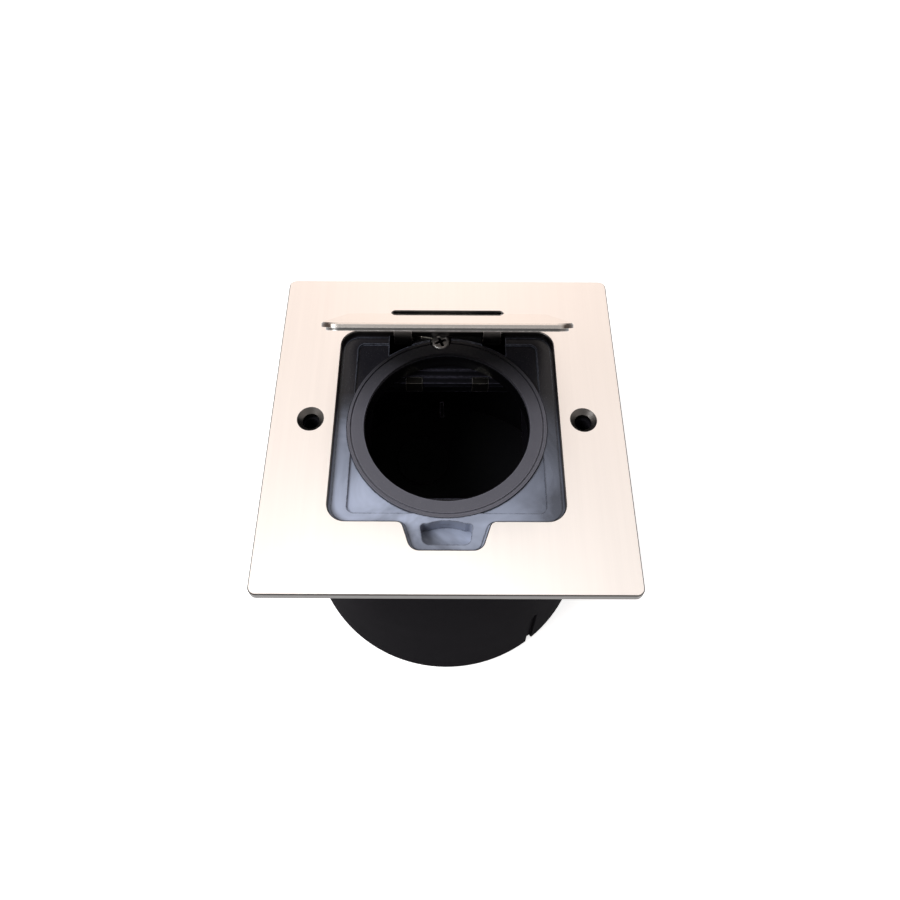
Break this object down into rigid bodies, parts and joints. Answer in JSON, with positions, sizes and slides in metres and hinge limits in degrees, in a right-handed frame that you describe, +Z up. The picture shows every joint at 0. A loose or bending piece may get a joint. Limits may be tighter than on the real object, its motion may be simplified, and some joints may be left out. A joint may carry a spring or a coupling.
{
  "type": "floor socket box",
  "caption": "Square stainless floor socket box with a hinged lid, smoked lid tray, ring seal, module carrier and a round mounting can.",
  "frame": {"origin": "centre of the can's foot, on the surface that the can stands on", "axes": "+Z up out of the finished floor, +Y from the finger notch to the hinge, +X to the right seen from the notch"},
  "size_m": [0.12, 0.12, 0.1588],
  "materials": {
    "plate_steel": "fine straight brushing, satin",
    "lid_steel": "fine straight brushing, satin",
    "hinge_steel": "bright pressed steel",
    "fastener_steel": "nickel plated",
    "spring_steel": "bright drawn wire",
    "earth_brass": "plain pressed brass",
    "smoked_tray": "smoked clear polycarbonate, slightly hazed",
    "seal_rubber": "matt moulded rubber",
    "gasket_foam": "closed-cell foam",
    "grommet_rubber": "matt moulded rubber",
    "carrier_plastic": "moulded, satin",
    "can_plastic": "moulded, lightly textured"
  },
  "bodies": {
    "box": {"face_plate": "plate_steel", "plate_gasket": "gasket_foam", "lid_tray": "smoked_tray", "ring_seal": "seal_rubber", "plate_studs": "fastener_steel", "stud_washers": "fastener_steel", "stud_nuts": "fastener_steel", "earth_tag": "earth_brass", "hinge_saddle": "hinge_steel", "hinge_spring": "spring_steel", "hinge_screw": "fastener_steel", "module_carrier": "carrier_plastic", "carrier_screws": "fastener_steel", "module_clips": "spring_steel", "mounting_can": "can_plastic", "can_base": "can_plastic", "cable_grommets": "grommet_rubber", "floor_plug": "grommet_rubber"},
    "lid": {"lid_cover": "lid_steel", "lid_liner": "lid_steel", "lid_rivets": "fastener_steel", "hinge_pin": "spring_steel"}
  },
  "joints": [
    {"name": "lid_hinge", "type": "hinge", "parent": "box", "child": "lid", "pos_m": [0, 0.0435, 0.0957], "axis": [-1, 0, 0], "range_deg": [-51.7, 48.3]}
  ]
}
